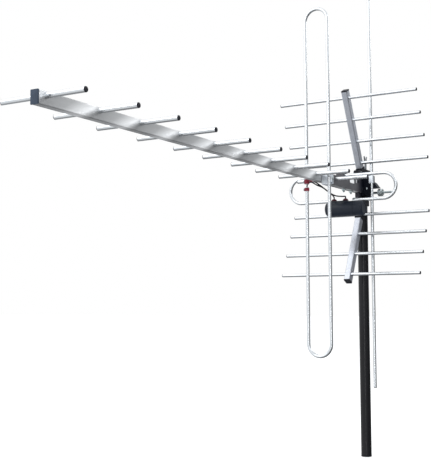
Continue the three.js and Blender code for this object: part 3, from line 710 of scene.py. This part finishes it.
def carve(bm, *tools, operation="DIFFERENCE"):
    """Cuts closed tools out of a closed mesh, and returns the result."""
    scene_objects = bpy.context.scene.collection.objects

    def temporary(source):
        bmesh.ops.remove_doubles(source, verts=source.verts, dist=MERGE_DISTANCE)
        bmesh.ops.recalc_face_normals(source, faces=source.faces)
        mesh = bpy.data.meshes.new("carving")
        source.to_mesh(mesh)
        source.free()
        made = bpy.data.objects.new("carving", mesh)
        scene_objects.link(made)
        return made

    base = temporary(bm)
    cutters = [temporary(tool) for tool in tools]
    for cutter in cutters:
        modifier = base.modifiers.new("cut", "BOOLEAN")
        modifier.operation = operation
        modifier.solver = "EXACT"
        modifier.object = cutter
    bpy.context.view_layer.update()
    evaluated = base.evaluated_get(bpy.context.evaluated_depsgraph_get())
    result = bmesh.new()
    result.from_mesh(evaluated.to_mesh())
    evaluated.to_mesh_clear()
    for made in (base, *cutters):
        mesh = made.data
        bpy.data.objects.remove(made)
        bpy.data.meshes.remove(mesh)
    return result


def bolt(node, axis, way, shank, head, height):
    """A screw with a domed cross head. It lies on a node's box: axis and way give the side of the head."""
    low, high = box_mm(node)
    centre = (low + high) / 2
    direction = Vector((0, 0, 0))
    direction[axis] = way
    top = Vector(centre)
    top[axis] = high[axis] if way > 0 else low[axis]
    seat = top - direction * height
    length = (high - low)[axis] - height
    bm = bmesh.new()
    profile = [(0, 0), (shank - 0.5, 0), *thread(shank, 0.4, max(length - 1, 1.0), 0.9),
               (shank, length), (0, length)]
    revolve(bm, seat - direction * length, direction, profile, 20)
    cross_head(bm, seat, direction, head, height)
    place(node + "_surface", bm, "boom", zinc, [node])


bolt("vhf_bracket_screw", 0, 1, 2.0, 4.0, 2.2)
bolt("vhf_dipole_screw", 0, 1, 2.0, 4.0, 2.2)
bolt("vhf_terminal_screw_upper", 0, -1, 1.6, 2.8, 2.0)
bolt("vhf_terminal_screw_lower", 0, -1, 1.6, 2.8, 2.0)
bolt("uhf_terminal_screw", 2, 1, 1.6, 2.6, 1.8)


def make_nose_screw(node):
    low, high = box_mm(node)
    x, y = (low.x + high.x) / 2, (low.y + high.y) / 2
    bm = bmesh.new()
    length = high.z - 2.5 - low.z
    profile = [(0, 0), (1.6, 0), *thread(2.5, 0.8, 3.4, 0.8), (2.3, 3.7), (2.5, 8),
               (2.5, length), (0, length)]
    revolve(bm, (x, y, low.z), UP, profile, 20)
    cross_head(bm, (x, y, high.z - 2.5), UP, 4.2, 2.5)
    nut = bmesh.new()
    prism(nut, hexagon(8.0), (x, y, low.z + 3.7), X_AXIS, Y_AXIS, 4.0)
    soften(nut, 0.35, 2)
    add_into(bm, nut)
    place(node + "_surface", bm, "boom", zinc, [node])


make_nose_screw("nose_screw_front")
make_nose_screw("nose_screw_rear")


def make_tilt_bolt():
    low, high = box_mm("tilt_bolt")
    y, z = (low.y + high.y) / 2, (low.z + high.z) / 2
    bm = bmesh.new()
    prism(bm, hexagon(9.2), (low.x, y, z), Y_AXIS, UP, 4.0)
    soften(bm, 0.5, 2)
    shank_start = low.x + 3.5
    length = high.x - shank_start
    profile = [(0, 0), (2.75, 0), (2.75, 44), *thread(2.75, 44.5, length - 0.8, 1.0),
               (2.1, length), (0, length)]
    revolve(bm, (shank_start, y, z), X_AXIS, profile, 24)
    place("tilt_bolt_surface", bm, "clamp", zinc, ["tilt_bolt"])

    low, high = box_mm("tilt_nut")
    washer = bmesh.new()
    rim = [(0, 0), (8.6, 0), (8.9, 0.3), (8.9, 2.6), (8.6, 2.9), (0, 2.9)]
    revolve(washer, (low.x, y, z), X_AXIS, rim, 48)
    for start, depth in ((low.x + 2.8, 10.2), (low.x + 14.0, high.x - low.x - 14.0)):
        nut = bmesh.new()
        prism(nut, hexagon(15.4), (start, y, z), Y_AXIS, UP, depth)
        soften(nut, 0.5, 2)
        add_into(washer, nut)
    neck = bmesh.new()
    revolve(neck, (low.x + 12.6, y, z), X_AXIS, [(0, 0), (5.6, 0), (5.6, 1.8), (0, 1.8)], 32)
    add_into(washer, neck)
    bore = bmesh.new()
    revolve(bore, (low.x - 1, y, z), X_AXIS, [(0, 0), (3.0, 0), (3.0, 30), (0, 30)], 28)
    place("tilt_nut_surface", carve(washer, bore), "tilt_handnut", zinc, ["tilt_nut"])


make_tilt_bolt()
refined("swivel_lock_screw", "clamp", zinc, 0.4)
refined("upper_fold_pin", "boom", zinc, 0.3)
refined("lower_fold_pin", "boom", zinc, 0.3)
refined("upper_wing_screw", "wing_screw", dark_zinc, 0.6, 3)

# ---------------------------------------------------------------- hub, seats and small mouldings
refined("hub_moulding", "boom", hub_plastic, 0.5, 2)
refined("upper_arm_shoe", "upper_arm", black_plastic, 0.6, 2)
refined("lower_arm_shoe", "lower_arm", black_plastic, 0.6, 2)
refined("uhf_dipole_saddle", "boom", grey_plastic, 0.6, 2)
refined("vhf_dipole_bracket", "boom", plate_metal, 0.5, 2)
refined("vhf_reflector_clip", "boom", plate_metal, 0.6, 2)
refined("vhf_terminal_upper", "boom", red_plastic, 0.8, 3)


def make_lower_terminal():
    low, high = box_mm("vhf_terminal_lower")
    x, y = (low.x + high.x) / 2, (low.y + high.y) / 2
    height = high.z - low.z
    bm = bmesh.new()
    profile = [(4.0, 0), (4.9, 0), (5.4, 0.5), (5.4, height - 0.5), (4.9, height), (4.0, height)]
    revolve(bm, (x, y, low.z), UP, profile, 36, closed=True)
    place("vhf_terminal_lower_surface", bm, "boom", red_plastic, ["vhf_terminal_lower"])


make_lower_terminal()


# ---------------------------------------------------------------- balun
BALUN_PLACE = Vector((0, -123, 572))
BAR_Z = 590.5                       # height of the wide dipole's lower bar


def bar_channel():
    """The room that the wide dipole's lower bar takes across the balun."""
    bm = bmesh.new()
    block(bm, (18, -127.05, BAR_Z - 4.05), (70, -118.95, 600))
    return bm


def make_balun():
    left, seam, right, radius = -38.0, 32.0, 54.0, 17.5
    hood_top = 590.5
    shell = bmesh.new()
    profile = [(0, 0), (9, 0), (12.2, 0.5), (14.6, 1.7), (16.3, 3.7), (17.2, 6.2), (radius, 9),
               (radius, 68.6), (17.2, 70), (15.5, 70), (15.5, 3.5), (0, 3.5)]
    revolve(shell, (left, BALUN_PLACE.y, BALUN_PLACE.z), X_AXIS, profile, 72)
    hood = bmesh.new()
    block(hood, (-26.4, -131, BALUN_PLACE.z + 12), (17, -115, hood_top))
    soften(hood, 1.6, 4)
    hood_bore = bmesh.new()
    block(hood_bore, (-23, -129, BALUN_PLACE.z + 5), (14, -117, hood_top - 1.5))
    entry = bmesh.new()
    revolve(entry, (-50, BALUN_PLACE.y, BAR_Z), X_AXIS, [(0, 0), (4.05, 0), (4.05, 22.8), (0, 22.8)], 28)
    holes = []
    for node in ("lead_gland_left", "lead_gland_right"):
        hole = bmesh.new()
        centre = middle_mm(node)
        revolve(hole, (centre.x, centre.y, 586), UP, [(0, 0), (2.6, 0), (2.6, 8), (0, 8)], 24)
        holes.append(hole)
    socket = middle_mm("coax_socket")
    socket_hole = bmesh.new()
    revolve(socket_hole, (socket.x, -118, socket.z), Y_AXIS, [(0, 0), (5, 0), (5, 15), (0, 15)], 28)
    joined = carve(shell, hood, operation="UNION")
    body = carve(joined, hood_bore, bar_channel(), entry, socket_hole, *holes)
    place("balun_housing_surface", body, "boom", balun_plastic,
          ["balun_housing"], sharp=28)

    cap = bmesh.new()
    start, length = seam + 0.3, right - seam - 0.3
    profile = [(15.2, -6), (15.2, 0), (17.1, 0), (radius, 0.5), (radius, length - 4.4),
               (17.0, length - 2.4), (16.0, length - 1.0), (14.4, length), (12.0, length),
               (11.6, length - 0.9), (0, length - 0.9), (0, length - 2.9), (13.2, length - 2.9), (13.2, -6)]
    revolve(cap, (start, BALUN_PLACE.y, BALUN_PLACE.z), X_AXIS, profile, 72, closed=True)
    place("balun_end_cap_surface", carve(cap, bar_channel()), "balun_cap", balun_plastic,
          ["balun_end_cap"], sharp=28)


make_balun()


def make_gland(node):
    low, high = box_mm(node)
    centre = (low + high) / 2
    seat = high.z - 5.0
    bm = bmesh.new()
    profile = [(1.65, -4), (2.3, -4), (2.3, 0), (6.2, 0), (6.5, 0.3), (6.5, 0.9), (6.1, 1.2), (6.15, 1.8),
               (5.6, 2.7), (4.6, 3.7), (3.2, 4.6), (2.2, 5.0), (1.65, 5.0)]
    revolve(bm, (centre.x, centre.y, seat), UP, profile, 36, closed=True)
    place(node + "_surface", bm, "boom", gland_plastic, [node])


make_gland("lead_gland_left")
make_gland("lead_gland_right")


def smooth_path(points, per_span):
    """A Catmull-Rom curve through points."""
    points = [Vector(point) for point in points]
    padded = [points[0] * 2 - points[1], *points, points[-1] * 2 - points[-2]]
    made = []
    for a, b, c, d in zip(padded, padded[1:], padded[2:], padded[3:]):
        for i in range(per_span):
            t = i / per_span
            made.append(0.5 * (2 * b + (c - a) * t + (2 * a - 5 * b + 4 * c - d) * t * t
                               + (3 * b - a - 3 * c + d) * t ** 3))
    return made + [points[-1]]


LEAD_ROUTES = {
    "feed_lead_upper": [(-13, -251, 624.2), (-13, -246, 624), (-12, -241, 621.8), (-9.9, -232, 618.6),
                        (-9.2, -217, 615.2), (-9, -199.5, 611.2), (-9, -185, 607.8), (-8.8, -168, 604),
                        (-11, -149, 601), (-16, -133, 600.8), (-18.6, -126, 600.6), (-19, -123, 598.6),
                        (-19, -123, 587)],
    "feed_lead_lower": [(-28.6, -244.7, 604.5), (-29.6, -244.5, 608), (-29.6, -244.4, 614),
                        (-26.5, -244.4, 619.5), (-20, -244.3, 621.2), (-14.5, -243, 618.6),
                        (-10.8, -236.5, 615.4), (-7.6, -229, 613.4), (-5.5, -217, 611.6),
                        (-5.4, -199.5, 608.4), (-5.4, -185, 605.4), (-5.2, -168, 602),
                        (-2.5, -149, 599.6), (5, -133, 599.6), (8.7, -126, 600.2), (9, -123, 598.6),
                        (9, -123, 587)],
}
for node, route in LEAD_ROUTES.items():
    lead = bmesh.new()
    section = circle(1.5, 14)
    sweep(lead, smooth_path(route, 6), lambda i: section)
    place(node + "_surface", lead, "boom", lead_rubber, [node])


def make_socket():
    low, high = box_mm("coax_socket")
    x, z = (low.x + high.x) / 2, (low.z + high.z) / 2
    seat = low.y + 4.5
    bm = bmesh.new()
    profile = [(0, -4.5), (4.6, -4.5), (4.6, 0), (4.7, 0), (4.7, 2.5)] + thread(4.7, 3.0, 12.0, 0.8)
    profile += [(4.0, 12.5), (3.2, 12.5), (3.2, 9.5), (1.0, 9.3), (0.6, 7.5), (0, 7.5)]
    revolve(bm, (x, seat, z), Y_AXIS, profile, 28)
    flange = bmesh.new()
    prism(flange, hexagon(11.0), (x, seat, z), UP, X_AXIS, 2.5)
    soften(flange, 0.3, 2)
    add_into(bm, flange)
    place("coax_socket_surface", bm, "boom", socket_metal, ["coax_socket"])


make_socket()
for node, material in (("balun_circuit_board", board_mask), ("balun_transformer", ferrite)):
    cad_nodes[node].data.materials.clear()
    cad_nodes[node].data.materials.append(material)


# ---------------------------------------------------------------- details on the hub
def make_hub_details():
    """A blank pale label, a pale slot and a round recess on the nose's side, and a rivet on the lug."""
    side = 8.0
    label = bmesh.new()
    prism(label, rounded_rectangle(24, 9, 1.2), (side, -81, 640.5), Y_AXIS, UP, 0.35)
    place("hub_blank_label", label, "boom", pale_patch)
    slot = bmesh.new()
    prism(slot, rounded_rectangle(2.6, 8, 1.0), (side, -55, 643), Y_AXIS, UP, 0.3)
    place("hub_pale_slot", slot, "boom", pale_patch)
    recess = bmesh.new()
    dish = [(0, 0.1), (2.6, 0.1), (3.0, 0.45), (3.6, 0.45), (3.9, 0)]
    revolve(recess, (side, -42, 643.5), X_AXIS, dish, 32)
    place("hub_side_recess", recess, "boom", cap_plastic)
    face = -5.95
    rivet = bmesh.new()
    revolve(rivet, (13.2, face, 630.8), -Y_AXIS, [(0, 1.2), (1.8, 1.1), (2.9, 0.6), (3.4, 0)], 28)
    place("hub_lug_rivet", rivet, "boom", zinc)


make_hub_details()


# ---------------------------------------------------------------- stage
def make_stage():
    floor_mesh = bpy.data.meshes.new("floor")
    reach = 30
    corners = [(-reach, -reach, 0), (reach, -reach, 0), (reach, reach, 0), (-reach, reach, 0)]
    floor_mesh.from_pydata(corners, [], [(0, 1, 2, 3)])
    floor = bpy.data.objects.new("floor", floor_mesh)
    floor.location.z = -0.0005
    nodes = Nodes("floor", Roughness=0.9, Emission_Strength=0.35)
    nodes.shader.inputs["Base Color"].default_value = (0.93, 0.93, 0.93, 1)
    nodes.shader.inputs["Emission Color"].default_value = (1, 1, 1, 1)
    floor_mesh.materials.append(nodes.material)
    floor.visible_glossy = False
    bpy.context.scene.collection.objects.link(floor)

    world = bpy.data.worlds.new("studio")
    bpy.context.scene.world = world
    world.use_nodes = True
    tree = world.node_tree
    background = tree.nodes["Background"]
    coordinate = tree.nodes.new("ShaderNodeTexCoord")
    towards = tree.nodes.new("ShaderNodeVectorMath")
    towards.operation = "DOT_PRODUCT"
    towards.inputs[1].default_value = Vector((-0.45, -0.35, 0.82)).normalized()
    tree.links.new(coordinate.outputs["Generated"], towards.inputs[0])
    spread = tree.nodes.new("ShaderNodeMapRange")
    spread.inputs["From Min"].default_value = -1
    tree.links.new(towards.outputs["Value"], spread.inputs["Value"])
    ramp = tree.nodes.new("ShaderNodeValToRGB")
    stops = [(0.0, 0.10), (0.15, 0.15), (0.30, 0.24), (0.41, 0.58), (0.50, 0.80), (0.70, 0.92), (1.0, 0.97)]
    while len(ramp.color_ramp.elements) < len(stops):
        ramp.color_ramp.elements.new(0.5)
    for element_stop, (position, value) in zip(ramp.color_ramp.elements, stops):
        element_stop.position = position
        element_stop.color = (value * 0.98, value, value * 1.02, 1)
    tree.links.new(spread.outputs["Result"], ramp.inputs["Fac"])
    seen = tree.nodes.new("ShaderNodeLightPath")
    choice = tree.nodes.new("ShaderNodeMix")
    choice.data_type = "RGBA"
    choice.inputs[7].default_value = (1, 1, 1, 1)
    tree.links.new(seen.outputs["Is Camera Ray"], choice.inputs["Factor"])
    tree.links.new(ramp.outputs["Color"], choice.inputs[6])
    tree.links.new(choice.outputs[2], background.inputs["Color"])
    background.inputs["Strength"].default_value = 1.0

    def area(name, location, aim, size, power):
        data = bpy.data.lights.new(name, "AREA")
        data.shape = "RECTANGLE"
        data.size, data.size_y = size
        data.energy = power
        light = bpy.data.objects.new(name, data)
        light.location = location
        light.rotation_euler = (Vector(aim) - Vector(location)).to_track_quat("-Z", "Y").to_euler()
        bpy.context.scene.collection.objects.link(light)

    area("key", (-1.6, -2.6, 2.6), (0, -0.4, 0.6), (3.0, 3.0), 36)
    area("rim", (1.8, 1.6, 2.2), (0, -0.3, 0.6), (0.9, 1.4), 16)
    area("strip", (1.05, -2.75, 0.45), (0, 0, 0.45), (0.10, 2.2), 6)
    bpy.context.scene.view_settings.view_transform = "Standard"


make_stage()
